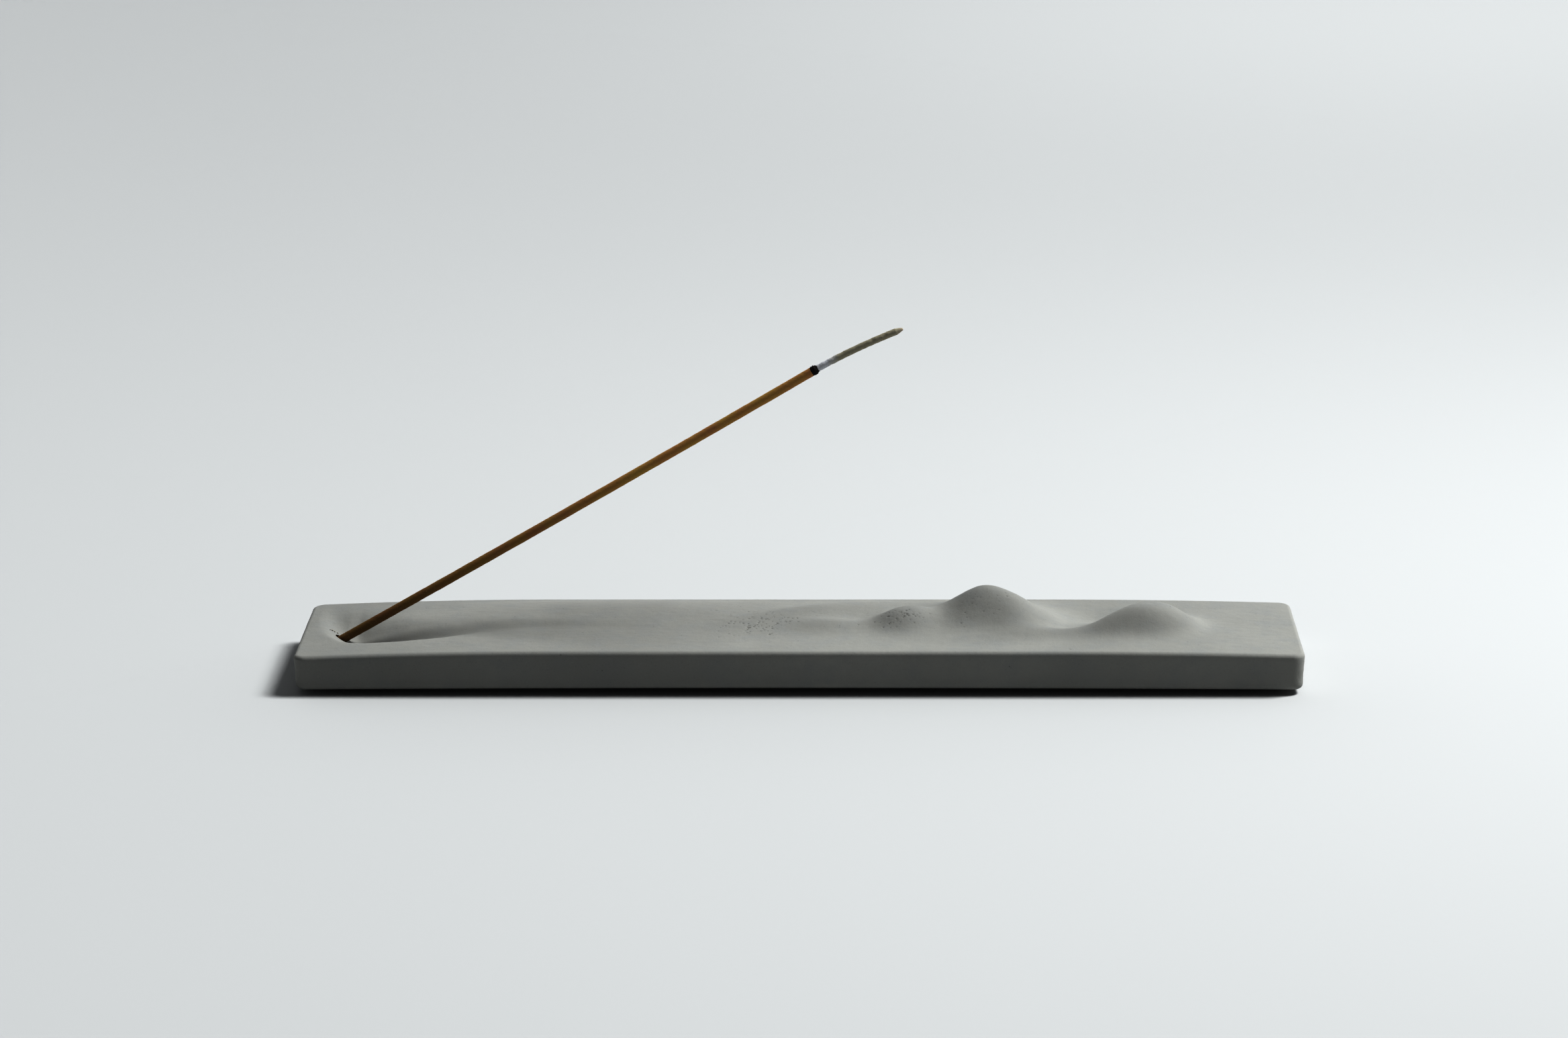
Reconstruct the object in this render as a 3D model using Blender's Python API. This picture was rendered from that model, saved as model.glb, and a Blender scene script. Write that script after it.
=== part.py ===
"""Incense burner: a long concrete slab whose top carries low hills and an ash scoop, on four thin feet.

An incense stick stands in a slanting blind bore at the deep end of the scoop and slides out along it.
Metres, +Z up. The origin is on the table, under the middle of the slab. X runs along the slab's length
from the scoop to the hills, and -Y is the front, where the scoop's lip is.
"""
import math

import bmesh
import bpy
import numpy as np
from mathutils import Vector

# Slab
SLAB_LENGTH = 0.2416
SLAB_DEPTH = 0.0450
SLAB_THICKNESS = 0.0098
CORNER_RADIUS = 0.0030
TOP_EDGE_RADIUS = 0.0010
BOTTOM_EDGE_RADIUS = 0.0012
SIDE_DRAFT = 0.0003            # how far each side leans in by its foot
UNDERSIDE_ARCH = 0.0004        # rise of the underside's middle over its ends
DROOP_LENGTH = 0.0600          # the top falls away over this length at each end
LEFT_END_DROOP = 0.0014
RIGHT_END_DROOP = 0.0009

# Feet
RIDE_HEIGHT = 0.0012           # table to the underside, at the slab's ends
FOOT_RADIUS = 0.0040
FOOT_END_INSET = 0.0150        # foot's centre to the slab's end
FOOT_SIDE_INSET = 0.0090       # foot's centre to the slab's long side
FOOT_EDGE_RADIUS = 0.0002

# Fits
SEAT_GAP = 0.0003              # between pieces that meet face to face
BORE_CLEARANCE = 0.0006        # round the stick in its bore

# Stick, char and ash
STICK_RADIUS = 0.0011
STICK_ANGLE = 29.8             # degrees above the table, at the bore
STICK_EXPOSED_LENGTH = 0.1326  # from the bore's mouth to the char
STICK_BEND = 0.9               # degrees that the stick curls up over its length
CHAR_LENGTH = 0.0012
ASH_RADIUS = 0.00083
ASH_LENGTH = 0.0234
ASH_TIP_LENGTH = 0.0022
ASH_TIP_SHARE = 0.25           # radius of the ash's very tip, as a share of the column's
ASH_BREAK = 1.4                # degrees that the ash tips down where it meets the char
ASH_DROOP = 6.6                # degrees more that it hangs over by its tip
BORE_LEVEL_INSET = 0.01575     # slab's end to where the bore's axis meets the level of the flat top
BORE_FLOOR = 0.0012            # least concrete left under the bore's blind end

# Scoop. Its lip is a curve in plan: distance from the slab's left end, and offset from the centreline.
SCOOP_LIP = (
    (0.0031, -0.0010),
    (0.0051, -0.0033),
    (0.0085, -0.0080),
    (0.0109, -0.0106),
    (0.0151, -0.0116),
    (0.0231, -0.0103),
    (0.0331, -0.0078),
    (0.0431, -0.0048),
    (0.0571, -0.0035),
    (0.0811, -0.0038),
    (0.1111, -0.0070),
    (0.1361, -0.0100),
)
SCOOP_HEAD_START = 0.0025      # slab's left end to where the scoop begins
SCOOP_HEAD_LENGTH = 0.0125     # over which it reaches its full depth
SCOOP_DEEPEST = 0.0130         # slab's left end to the deepest section
SCOOP_DEPTH = 0.0045
SCOOP_FADE_LENGTH = 0.0274     # past the deepest section, to about a third of the depth
SCOOP_FADE_POWER = 1.49
SCOOP_HEAD_REACH = 0.0105      # from the lip to the deepest line, at the head
SCOOP_TAIL_REACH = 0.0010      # and far along the tail
SCOOP_REACH_FADE = 0.0250
SCOOP_FAR_WALL = 0.8           # length of the far wall, in reaches
SCOOP_HEAD_LIP_RADIUS = 0.0007
SCOOP_TAIL_LIP_RADIUS = 0.0022

# Relief on the top. Each mound or dip is: distance from the slab's right end, offset from the centreline,
# height, half-widths along and across, turn in degrees, and flatness of its crown (1 is a plain bell).
RELIEF = {
    "main_hill": (0.0757, 0.0050, 0.0083, 0.0076, 0.0065, 0.0, 0.93),
    "main_hill_spur": (0.0668, -0.0010, 0.0027, 0.0047, 0.0057, -15.0, 1.00),
    "right_hill": (0.0358, -0.0021, 0.0062, 0.0072, 0.0056, 18.6, 1.38),
    "right_hill_foot": (0.0465, -0.0047, 0.0015, 0.0040, 0.0060, 14.0, 1.00),
    "left_hill": (0.0948, 0.0000, 0.0039, 0.0050, 0.0050, -11.0, 1.19),
    "front_ridge": (0.0522, -0.0085, 0.0016, 0.0123, 0.0023, 7.0, 1.00),
    "front_dip": (0.0841, -0.0145, -0.0003, 0.0108, 0.0030, 0.0, 1.00),
    "valley_bowl": (0.0473, 0.0056, -0.0016, 0.0053, 0.0048, 10.0, 1.00),
    "low_mound": (0.1139, -0.0018, 0.0016, 0.0087, 0.0033, 2.5, 1.00),
    "rear_swell": (0.1172, 0.0085, 0.0018, 0.0133, 0.0039, 24.5, 1.00),
    "long_rear_swell": (0.1660, 0.0093, 0.0018, 0.0258, 0.0073, 1.7, 1.00),
}
FLAT_RIM = 0.0055              # the relief dies out over this distance from each long side

# Mesh steps
FINE_STEP = 0.0023
COARSE_STEP = 0.0045
SCOOP_FINE_LENGTH = 0.0600     # fine steps from the left end to here
HILLS_FINE_LENGTH = 0.1300     # and over this length at the right end
ROW_COUNT = 20
CORNER_STEPS = 4
EDGE_STEPS = 2
ROUND_SIDES = 16
STICK_STEPS = 10
CHAR_STEPS = 2
ASH_STEPS = 11
SLAB_SHARP_ANGLE = 60.0        # degrees between faces past which an edge stays crisp
DISC_SHARP_ANGLE = 30.0
ROD_SHARP_ANGLE = 50.0
STEP_TOLERANCE = 1e-6          # lets a length that divides evenly into steps do so
MOUTH_SEARCH_STEP = 0.00002
CUTTER_OVERRUN = 0.0050        # bore cutter past the bore's mouth

# Materials: name, colour and roughness
CONCRETE = ("grey_concrete", (0.36, 0.37, 0.34), 0.85)
RUBBER = ("dark_rubber", (0.02, 0.02, 0.02), 0.7)
INCENSE = ("pressed_incense", (0.075, 0.030, 0.012), 0.8)
CHAR = ("charred_incense", (0.010, 0.009, 0.009), 0.9)
ASH = ("incense_ash", (0.28, 0.26, 0.22), 0.95)

TOP_LEVEL = RIDE_HEIGHT + SLAB_THICKNESS
HALF_LENGTH = SLAB_LENGTH / 2
HALF_DEPTH = SLAB_DEPTH / 2
LEFT_END = -HALF_LENGTH
RIGHT_END = HALF_LENGTH
BORE_RADIUS = STICK_RADIUS + BORE_CLEARANCE


def clamp(values, low, high):
    return np.minimum(np.maximum(values, low), high)


def smooth_step(values):
    t = clamp(values, 0.0, 1.0)
    return t * t * (3.0 - 2.0 * t)


def smooth_curve(x, points):
    """A cubic through the points, with no overshoot between them."""
    px = np.array([point[0] for point in points])
    py = np.array([point[1] for point in points])
    chord = np.diff(py) / np.diff(px)
    same_way = chord[:-1] * chord[1:] > 0
    mean = 2.0 * chord[:-1] * chord[1:] / np.where(same_way, chord[:-1] + chord[1:], 1.0)
    slope = np.concatenate([[chord[0]], np.where(same_way, mean, 0.0), [chord[-1]]])
    x = clamp(x, px[0], px[-1])
    k = clamp(np.searchsorted(px, x, side="right") - 1, 0, len(px) - 2)
    width = px[k + 1] - px[k]
    t = (x - px[k]) / width
    start = (1 + 2 * t) * (1 - t) ** 2 * py[k] + t * (1 - t) ** 2 * width * slope[k]
    end = t * t * (3 - 2 * t) * py[k + 1] + t * t * (t - 1) * width * slope[k + 1]
    return start + end


def scoop_depth(x, y):
    """A comet-shaped hollow: a steep near wall under a crisp lip, and a long soft far wall."""
    along = x - LEFT_END
    past_deepest = np.maximum(along - SCOOP_DEEPEST, 0.0)
    depth = SCOOP_DEPTH * np.exp(-(past_deepest / SCOOP_FADE_LENGTH) ** SCOOP_FADE_POWER)
    depth = depth * smooth_step((along - SCOOP_HEAD_START) / SCOOP_HEAD_LENGTH)
    tail_share = 1.0 - np.exp(-past_deepest / SCOOP_REACH_FADE)
    reach = SCOOP_HEAD_REACH + (SCOOP_TAIL_REACH - SCOOP_HEAD_REACH) * tail_share
    lip_radius = SCOOP_HEAD_LIP_RADIUS + (SCOOP_TAIL_LIP_RADIUS - SCOOP_HEAD_LIP_RADIUS) * tail_share
    behind_lip = y - smooth_curve(along, SCOOP_LIP)
    rounded = lip_radius * np.logaddexp(0.0, behind_lip / lip_radius)
    t = rounded / reach
    near_wall = np.sin(math.pi / 2 * clamp(t, 0.0, 1.0))
    far_wall = np.exp(-(np.maximum(t - 1.0, 0.0) / SCOOP_FAR_WALL) ** 2)
    return depth * np.where(t < 1.0, near_wall, far_wall)


def mound_height(x, y, mound):
    from_right, offset, height, half_along, half_across, turn, flatness = mound
    dx = x - (RIGHT_END - from_right)
    dy = y - offset
    c = math.cos(math.radians(turn))
    s = math.sin(math.radians(turn))
    along = (c * dx + s * dy) / half_along
    across = (c * dy - s * dx) / half_across
    return height * np.exp(-((along ** 2 + across ** 2) / 2) ** flatness)


def end_droop(x):
    left = np.maximum(1.0 - (x - LEFT_END) / DROOP_LENGTH, 0.0)
    right = np.maximum(1.0 - (RIGHT_END - x) / DROOP_LENGTH, 0.0)
    return LEFT_END_DROOP * left ** 2 + RIGHT_END_DROOP * right ** 2


def top_height(x, y):
    """Height of the slab's top over the table."""
    relief = -scoop_depth(x, y)
    for mound in RELIEF.values():
        relief = relief + mound_height(x, y, mound)
    edge_fade = smooth_step((HALF_DEPTH - np.abs(y)) / FLAT_RIM)
    return TOP_LEVEL - end_droop(x) + relief * edge_fade


def underside_height(x):
    return RIDE_HEIGHT + UNDERSIDE_ARCH * (1.0 - (x / HALF_LENGTH) ** 2)


def new_object(name, mesh, material):
    mesh.materials.append(material)
    made = bpy.data.objects.new(name, mesh)
    bpy.context.scene.collection.objects.link(made)
    return made


def new_material(name, colour, roughness):
    made = bpy.data.materials.new(name)
    made.use_nodes = True
    shader = made.node_tree.nodes["Principled BSDF"]
    shader.inputs["Base Color"].default_value = (*colour, 1.0)
    shader.inputs["Roughness"].default_value = roughness
    shader.inputs["Metallic"].default_value = 0.0
    return made


def mesh_from(bm, name, sharp_angle):
    bmesh.ops.recalc_face_normals(bm, faces=bm.faces)
    mesh = bpy.data.meshes.new(name)
    bm.to_mesh(mesh)
    bm.free()
    mesh.shade_smooth()
    mesh.set_sharp_from_angle(angle=math.radians(sharp_angle))
    return mesh


def even_steps(start, end, step):
    """Points from start up to, not including, end."""
    count = max(1, math.ceil((end - start) / step - STEP_TOLERANCE))
    return [start + (end - start) * i / count for i in range(count)]


def column_stations():
    """The slab's cross rows from end to end: each is an x, and an angle round the corner past it."""
    straight = HALF_LENGTH - CORNER_RADIUS
    fine_end = clamp(LEFT_END + SCOOP_FINE_LENGTH, -straight, 0.0)
    hills_start = clamp(RIGHT_END - HILLS_FINE_LENGTH, 0.0, straight)
    xs = even_steps(-straight, fine_end, FINE_STEP)
    xs += even_steps(fine_end, hills_start, COARSE_STEP)
    xs += even_steps(hills_start, straight, FINE_STEP)
    corner = [90.0 * i / CORNER_STEPS for i in range(1, CORNER_STEPS + 1)]
    left = [(-straight, -angle) for angle in reversed(corner)]
    right = [(straight, angle) for angle in corner]
    return left + [(x, 0.0) for x in xs] + [(straight, 0.0)] + right


def outline_row(station, inset):
    """The x and the half-width of one cross row, on the plan outline drawn in by inset."""
    x, angle = station
    radius = CORNER_RADIUS - inset
    turned = math.radians(angle)
    half_width = HALF_DEPTH - CORNER_RADIUS + radius * math.cos(turned)
    return x + radius * math.sin(turned), half_width


def rim_points(stations, inset):
    """The plan outline drawn in by inset: along the back, down the right end, along the front and up."""
    rows = [outline_row(station, inset) for station in stations]
    back = [(x, half) for x, half in rows]
    front = [(x, -half) for x, half in reversed(rows)]
    end_shares = [1.0 - 2.0 * j / ROW_COUNT for j in range(1, ROW_COUNT)]
    right = [(rows[-1][0], share * rows[-1][1]) for share in end_shares]
    left = [(rows[0][0], -share * rows[0][1]) for share in end_shares]
    return np.array(back + right + front + left)


def slab_rings(stations):
    """Rim rings below the top face: its rounded edge, the leaning side and the rounded foot."""
    top_rim = rim_points(stations, TOP_EDGE_RADIUS)
    edge_height = top_height(top_rim[:, 0], top_rim[:, 1])
    rings = []
    for step in range(1, EDGE_STEPS + 1):
        angle = math.pi / 2 * step / EDGE_STEPS
        plan = rim_points(stations, TOP_EDGE_RADIUS * (1.0 - math.sin(angle)))
        rings.append((plan, edge_height - TOP_EDGE_RADIUS * (1.0 - math.cos(angle))))
    for step in range(EDGE_STEPS + 1):
        angle = math.pi / 2 * step / EDGE_STEPS
        plan = rim_points(stations, SIDE_DRAFT + BOTTOM_EDGE_RADIUS * (1.0 - math.cos(angle)))
        rise = BOTTOM_EDGE_RADIUS * (1.0 - math.sin(angle))
        rings.append((plan, underside_height(plan[:, 0]) + rise))
    return rings


def make_slab_body(material):
    stations = column_stations()
    bm = bmesh.new()
    grid = []
    for station in stations:
        x, half = outline_row(station, TOP_EDGE_RADIUS)
        ys = [half * (1.0 - 2.0 * j / ROW_COUNT) for j in range(ROW_COUNT + 1)]
        zs = top_height(np.full(len(ys), x), np.array(ys))
        grid.append([bm.verts.new((x, y, z)) for y, z in zip(ys, zs)])
    for left, right in zip(grid, grid[1:]):
        for j in range(ROW_COUNT):
            bm.faces.new((left[j], left[j + 1], right[j + 1], right[j]))

    back = [column[0] for column in grid]
    front = [column[-1] for column in reversed(grid)]
    above = back + grid[-1][1:-1] + front + list(reversed(grid[0][1:-1]))
    for plan, heights in slab_rings(stations):
        below = [bm.verts.new((x, y, z)) for (x, y), z in zip(plan, heights)]
        for i, vert in enumerate(above):
            after = (i + 1) % len(above)
            bm.faces.new((vert, above[after], below[after], below[i]))
        above = below

    column_count = len(stations)
    back = above[:column_count]
    right_end = above[column_count:column_count + ROW_COUNT - 1]
    front = list(reversed(above[column_count + ROW_COUNT - 1:2 * column_count + ROW_COUNT - 1]))
    left_end = above[2 * column_count + ROW_COUNT - 1:]
    for i in range(1, column_count - 2):
        bm.faces.new((back[i], back[i + 1], front[i + 1], front[i]))
    bm.faces.new([back[-2], back[-1], *right_end, front[-1], front[-2]])
    bm.faces.new([front[1], front[0], *left_end, back[0], back[1]])
    return new_object("concrete_slab", mesh_from(bm, "concrete_slab", SLAB_SHARP_ANGLE), material)


def bore_direction():
    angle = math.radians(STICK_ANGLE)
    return Vector((math.cos(angle), 0.0, math.sin(angle)))


def bore_end():
    """Centre of the bore's blind end: as deep as BORE_FLOOR of concrete under its lower rim allows."""
    angle = math.radians(STICK_ANGLE)
    level_x = LEFT_END + BORE_LEVEL_INSET
    height = underside_height(level_x) + BORE_FLOOR + BORE_RADIUS * math.cos(angle)
    return Vector((level_x - (TOP_LEVEL - height) / math.tan(angle), 0.0, height))


def bore_mouth():
    """Where the bore's axis comes out through the scoop's floor."""
    distance = 0.0
    point = bore_end()
    while point.z < top_height(point.x, point.y):
        distance += MOUTH_SEARCH_STEP
        point = bore_end() + bore_direction() * distance
    return point


def disc_mesh(name, radius, depth):
    """An upright cylinder, centred on its own origin."""
    bm = bmesh.new()
    bmesh.ops.create_cone(
        bm, cap_ends=True, segments=ROUND_SIDES, radius1=radius, radius2=radius, depth=depth
    )
    return mesh_from(bm, name, DISC_SHARP_ANGLE)


def make_bore_cutter():
    length = (bore_mouth() - bore_end()).length + CUTTER_OVERRUN
    mesh = disc_mesh("bore_cutter", BORE_RADIUS, length)
    cutter = bpy.data.objects.new("bore_cutter", mesh)
    bpy.context.scene.collection.objects.link(cutter)
    cutter.rotation_euler = (0.0, math.radians(90.0 - STICK_ANGLE), 0.0)
    cutter.location = bore_end() + bore_direction() * (length / 2)
    cutter.hide_render = True
    cutter.display_type = "WIRE"
    return cutter


def make_slab(material):
    slab = make_slab_body(material)
    bore = slab.modifiers.new("bore", "BOOLEAN")
    bore.operation = "DIFFERENCE"
    bore.solver = "EXACT"
    bore.object = make_bore_cutter()


def make_feet(material):
    foot_x = HALF_LENGTH - FOOT_END_INSET
    foot_y = HALF_DEPTH - FOOT_SIDE_INSET
    thickness = underside_height(foot_x) - SEAT_GAP
    for end, side_x in (("left", -1), ("right", 1)):
        for row, side_y in (("front", -1), ("rear", 1)):
            name = f"foot_{row}_{end}"
            foot = new_object(name, disc_mesh(name, FOOT_RADIUS, thickness), material)
            foot.location = (side_x * foot_x, side_y * foot_y, thickness / 2)
            edge = foot.modifiers.new("rounded_edge", "BEVEL")
            edge.width = FOOT_EDGE_RADIUS
            edge.segments = 1
            edge.limit_method = "ANGLE"


def path_between(start, start_lean, end_lean, length, steps):
    """Points of an arc in the bore's upright plane, as (offset upwards, distance along), and its leans."""
    leans = [math.radians(start_lean + (end_lean - start_lean) * i / steps) for i in range(steps + 1)]
    points = [start]
    for lean, after in zip(leans, leans[1:]):
        middle = (lean + after) / 2
        up, along = points[-1]
        points.append((up + math.sin(middle) * length / steps, along + math.cos(middle) * length / steps))
    return points, leans


def make_rod(name, path, radii, material, parent):
    """A round rod with flat ends, along a path in its parent's frame: +Z along the bore, -X upwards."""
    points, leans = path
    bm = bmesh.new()
    rings = []
    for (up, along), lean, radius in zip(points, leans, radii):
        ring = []
        for i in range(ROUND_SIDES):
            turn = 2 * math.pi * i / ROUND_SIDES
            lift = radius * math.cos(turn)
            x = -(up + lift * math.cos(lean))
            z = along - lift * math.sin(lean)
            ring.append(bm.verts.new((x, radius * math.sin(turn), z)))
        rings.append(ring)
    for ring, after in zip(rings, rings[1:]):
        for i in range(ROUND_SIDES):
            k = (i + 1) % ROUND_SIDES
            bm.faces.new((ring[i], ring[k], after[k], after[i]))
    bm.faces.new(rings[0])
    bm.faces.new(list(reversed(rings[-1])))
    rod = new_object(name, mesh_from(bm, name, ROD_SHARP_ANGLE), material)
    rod.parent = parent


def step_past(point, lean, distance):
    up, along = point
    return up + math.sin(lean) * distance, along + math.cos(lean) * distance


def make_stick_assembly(stick_material, char_material, ash_material):
    """Stick, char band and ash column, on an empty that lies on the bore's axis at its blind end."""
    axis = bpy.data.objects.new("bore_axis", None)
    bpy.context.scene.collection.objects.link(axis)
    axis.location = bore_end()
    axis.rotation_euler = (0.0, math.radians(90.0 - STICK_ANGLE), 0.0)

    held_length = (bore_mouth() - bore_end()).length - SEAT_GAP
    held = path_between((0.0, SEAT_GAP), 0.0, 0.0, held_length, 1)
    free = path_between(held[0][-1], 0.0, STICK_BEND, STICK_EXPOSED_LENGTH, STICK_STEPS)
    stick = (held[0] + free[0][1:], held[1] + free[1][1:])
    make_rod("incense_stick", stick, [STICK_RADIUS] * len(stick[0]), stick_material, axis)

    lean = stick[1][-1]
    char_start = step_past(stick[0][-1], lean, SEAT_GAP)
    char = path_between(char_start, STICK_BEND, STICK_BEND, CHAR_LENGTH, CHAR_STEPS)
    char_radii = np.linspace(STICK_RADIUS, ASH_RADIUS, CHAR_STEPS + 1)
    make_rod("char_band", char, char_radii, char_material, axis)

    ash_start = step_past(char[0][-1], lean, SEAT_GAP)
    ash_lean = STICK_BEND - ASH_BREAK
    ash = path_between(ash_start, ash_lean, ash_lean - ASH_DROOP, ASH_LENGTH, ASH_STEPS)
    distances = np.linspace(0.0, ASH_LENGTH, ASH_STEPS + 1)
    taper = clamp((ASH_LENGTH - distances) / ASH_TIP_LENGTH, 0.0, 1.0)
    ash_radii = ASH_RADIUS * (ASH_TIP_SHARE + (1.0 - ASH_TIP_SHARE) * taper)
    make_rod("ash_column", ash, ash_radii, ash_material, axis)


def main():
    for old in list(bpy.data.objects):
        bpy.data.objects.remove(old, do_unlink=True)
    make_slab(new_material(*CONCRETE))
    make_feet(new_material(*RUBBER))
    make_stick_assembly(new_material(*INCENSE), new_material(*CHAR), new_material(*ASH))


main()
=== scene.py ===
"""Looks for the incense burner: fine cast concrete, pressed incense, char and ash, on a pale floor."""
import math

import bmesh
import bpy
import numpy as np
from mathutils import Matrix, Vector


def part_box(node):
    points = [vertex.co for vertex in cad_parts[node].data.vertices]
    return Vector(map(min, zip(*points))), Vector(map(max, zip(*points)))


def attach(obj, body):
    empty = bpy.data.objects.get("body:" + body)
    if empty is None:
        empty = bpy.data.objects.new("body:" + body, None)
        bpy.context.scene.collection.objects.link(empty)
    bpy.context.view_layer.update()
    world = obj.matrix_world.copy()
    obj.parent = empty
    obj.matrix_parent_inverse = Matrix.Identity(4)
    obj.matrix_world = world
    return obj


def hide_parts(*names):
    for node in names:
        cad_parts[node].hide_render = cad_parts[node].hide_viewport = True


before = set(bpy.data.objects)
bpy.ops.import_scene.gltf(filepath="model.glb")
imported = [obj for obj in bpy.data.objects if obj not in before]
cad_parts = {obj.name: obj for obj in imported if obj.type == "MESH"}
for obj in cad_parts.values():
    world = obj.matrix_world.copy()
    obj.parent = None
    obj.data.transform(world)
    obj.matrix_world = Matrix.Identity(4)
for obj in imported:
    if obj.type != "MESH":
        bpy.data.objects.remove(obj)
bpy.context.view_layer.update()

# ---------------------------------------------------------------- the frame's own sizes
SLAB_LOW, SLAB_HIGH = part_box("concrete_slab")
LEFT_END = SLAB_LOW.x
RIGHT_END = SLAB_HIGH.x
HALF_LENGTH = (RIGHT_END - LEFT_END) / 2
HALF_DEPTH = (SLAB_HIGH.y - SLAB_LOW.y) / 2
UNDERSIDE = SLAB_LOW.z

# Sizes of the casting, in metres, as the model was designed
SLAB_THICKNESS = 0.0098
TOP_LEVEL = UNDERSIDE + SLAB_THICKNESS
CORNER_RADIUS = 0.0030
TOP_EDGE_RADIUS = 0.0010
BOTTOM_EDGE_RADIUS = 0.0012
SIDE_DRAFT = 0.0003
UNDERSIDE_ARCH = 0.0004
DROOP_LENGTH = 0.0600
LEFT_END_DROOP = 0.0014
RIGHT_END_DROOP = 0.0009
FLAT_RIM = 0.0055

# The scoop's lip in plan: distance from the slab's left end, and offset from the centreline
SCOOP_LIP = (
    (0.0031, -0.0010),
    (0.0051, -0.0033),
    (0.0085, -0.0080),
    (0.0109, -0.0106),
    (0.0151, -0.0116),
    (0.0231, -0.0103),
    (0.0331, -0.0078),
    (0.0431, -0.0048),
    (0.0571, -0.0035),
    (0.0811, -0.0038),
    (0.1111, -0.0070),
    (0.1361, -0.0100),
)
SCOOP_HEAD_START = 0.0025
SCOOP_HEAD_LENGTH = 0.0125
SCOOP_DEEPEST = 0.0130
SCOOP_DEPTH = 0.0045
SCOOP_FADE_LENGTH = 0.0274
SCOOP_FADE_POWER = 1.49
SCOOP_HEAD_REACH = 0.0105
SCOOP_TAIL_REACH = 0.0010
SCOOP_REACH_FADE = 0.0250
SCOOP_FAR_WALL = 0.8
SCOOP_HEAD_LIP_RADIUS = 0.0007
SCOOP_TAIL_LIP_RADIUS = 0.0022

# Mounds and dips: distance from the slab's right end, offset from the centreline, height, half-widths
# along and across, turn in degrees, and flatness of the crown
RELIEF = {
    "main_hill": (0.0757, 0.0050, 0.0083, 0.0076, 0.0065, 0.0, 0.93),
    "main_hill_spur": (0.0668, -0.0010, 0.0027, 0.0047, 0.0057, -15.0, 1.00),
    "right_hill": (0.0358, -0.0021, 0.0062, 0.0072, 0.0056, 18.6, 1.38),
    "right_hill_foot": (0.0465, -0.0047, 0.0015, 0.0040, 0.0060, 14.0, 1.00),
    "left_hill": (0.0948, 0.0000, 0.0039, 0.0050, 0.0050, -11.0, 1.19),
    "front_ridge": (0.0522, -0.0085, 0.0016, 0.0123, 0.0023, 7.0, 1.00),
    "front_dip": (0.0841, -0.0145, -0.0003, 0.0108, 0.0030, 0.0, 1.00),
    "valley_bowl": (0.0473, 0.0056, -0.0016, 0.0053, 0.0048, 10.0, 1.00),
    "low_mound": (0.1139, -0.0018, 0.0016, 0.0087, 0.0033, 2.5, 1.00),
    "rear_swell": (0.1172, 0.0085, 0.0018, 0.0133, 0.0039, 24.5, 1.00),
    "long_rear_swell": (0.1660, 0.0093, 0.0018, 0.0258, 0.0073, 1.7, 1.00),
}

# Stick, char and ash. The ash is a little shorter than the solid one, and hangs lower.
BORE_RADIUS = 0.0017
BORE_LEVEL_INSET = 0.01575
BORE_FLOOR = 0.0012
STICK_RADIUS = 0.0011
STICK_ANGLE = 29.8
STICK_BEND = 0.9
STICK_EXPOSED_LENGTH = 0.1326
CHAR_LENGTH = 0.0012
ASH_RADIUS = 0.00083
ASH_LENGTH = 0.0224
ASH_BREAK = 1.4
ASH_DROOP = 7.9
SEAT_GAP = 0.0003


def clamp(values, low, high):
    return np.minimum(np.maximum(values, low), high)


def smooth_step(values):
    t = clamp(values, 0.0, 1.0)
    return t * t * (3.0 - 2.0 * t)


def smooth_curve(x, points):
    """A cubic through the points, with no overshoot between them."""
    px = np.array([point[0] for point in points])
    py = np.array([point[1] for point in points])
    chord = np.diff(py) / np.diff(px)
    same_way = chord[:-1] * chord[1:] > 0
    mean = 2.0 * chord[:-1] * chord[1:] / np.where(same_way, chord[:-1] + chord[1:], 1.0)
    slope = np.concatenate([[chord[0]], np.where(same_way, mean, 0.0), [chord[-1]]])
    x = clamp(x, px[0], px[-1])
    k = clamp(np.searchsorted(px, x, side="right") - 1, 0, len(px) - 2)
    width = px[k + 1] - px[k]
    t = (x - px[k]) / width
    start = (1 + 2 * t) * (1 - t) ** 2 * py[k] + t * (1 - t) ** 2 * width * slope[k]
    end = t * t * (3 - 2 * t) * py[k + 1] + t * t * (t - 1) * width * slope[k + 1]
    return start + end


def scoop_depth(x, y):
    """A comet-shaped hollow: a steep near wall under a crisp lip, and a long soft far wall."""
    along = x - LEFT_END
    past_deepest = np.maximum(along - SCOOP_DEEPEST, 0.0)
    depth = SCOOP_DEPTH * np.exp(-(past_deepest / SCOOP_FADE_LENGTH) ** SCOOP_FADE_POWER)
    depth = depth * smooth_step((along - SCOOP_HEAD_START) / SCOOP_HEAD_LENGTH)
    tail_share = 1.0 - np.exp(-past_deepest / SCOOP_REACH_FADE)
    reach = SCOOP_HEAD_REACH + (SCOOP_TAIL_REACH - SCOOP_HEAD_REACH) * tail_share
    lip_radius = SCOOP_HEAD_LIP_RADIUS + (SCOOP_TAIL_LIP_RADIUS - SCOOP_HEAD_LIP_RADIUS) * tail_share
    behind_lip = y - smooth_curve(along, SCOOP_LIP)
    rounded = lip_radius * np.logaddexp(0.0, behind_lip / lip_radius)
    t = rounded / reach
    near_wall = np.sin(math.pi / 2 * clamp(t, 0.0, 1.0))
    far_wall = np.exp(-(np.maximum(t - 1.0, 0.0) / SCOOP_FAR_WALL) ** 2)
    return depth * np.where(t < 1.0, near_wall, far_wall)


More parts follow.
